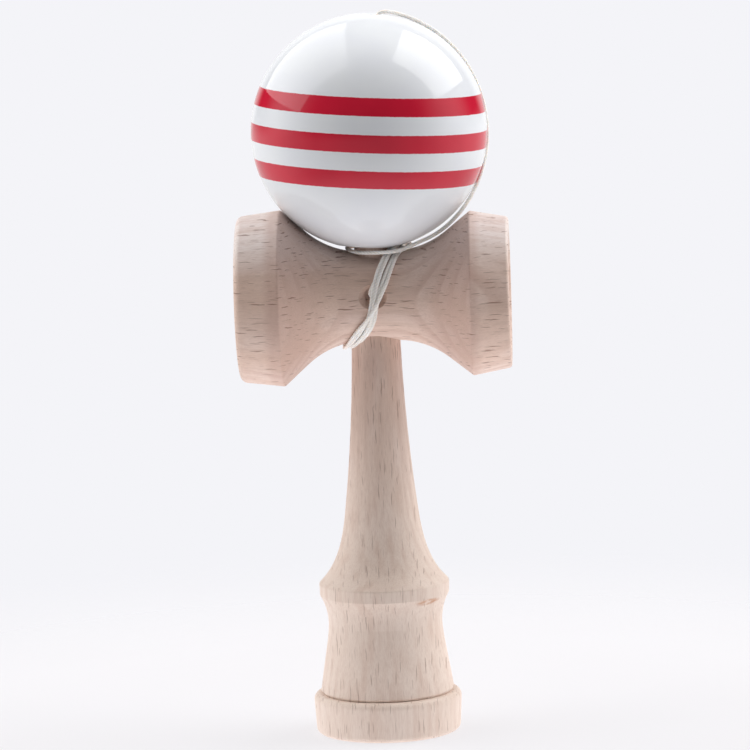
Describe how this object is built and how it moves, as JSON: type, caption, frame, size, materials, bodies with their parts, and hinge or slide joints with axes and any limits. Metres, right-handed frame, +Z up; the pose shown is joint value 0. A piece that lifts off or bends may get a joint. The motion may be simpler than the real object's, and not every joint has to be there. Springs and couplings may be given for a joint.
{
  "type": "cup and ball toy",
  "caption": "Wooden cup and ball toy: spiked handle with a cup in its foot, a crosspiece with a cup at each end, and a striped lacquered ball tied on by a string.",
  "frame": {"origin": "middle of the handle's foot, on the surface that the toy stands on", "axes": "+Z up along the handle to the spike, +X along the crosspiece from the big cup to the small cup, -Y the side with the string hole"},
  "size_m": [0.0692, 0.06, 0.1858],
  "materials": {
    "beech": "bare sanded beech, matt to satin",
    "ball_lacquer": "white gloss lacquer on wood, with three painted red bands",
    "bead_wood": "bare wood",
    "string": "off-white twisted or braided cord, matt"
  },
  "bodies": {
    "handle_body": {"handle": "beech"},
    "crosspiece_body": {"crosspiece": "beech", "anchor_knot": "string", "string_winding": "string"},
    "bead_body": {"bead": "bead_wood", "bead_knot": "string", "string_ball_run": "string"},
    "ball_body": {"ball": "ball_lacquer"}
  },
  "joints": [
    {"name": "crosspiece_lift", "type": "slide", "parent": "handle_body", "child": "crosspiece_body", "axis": [0, 0, 1], "range_m": [0, 0.07]},
    {"name": "ball_lift", "type": "slide", "parent": "crosspiece_body", "child": "bead_body", "axis": [0, 0, 1], "range_m": [0, 0.05]},
    {"name": "ball_spin", "type": "hinge", "parent": "bead_body", "child": "ball_body", "pos_m": [0, 0, 0.15466], "axis": [0.0663, 0, 0.9978], "continuous": true}
  ]
}
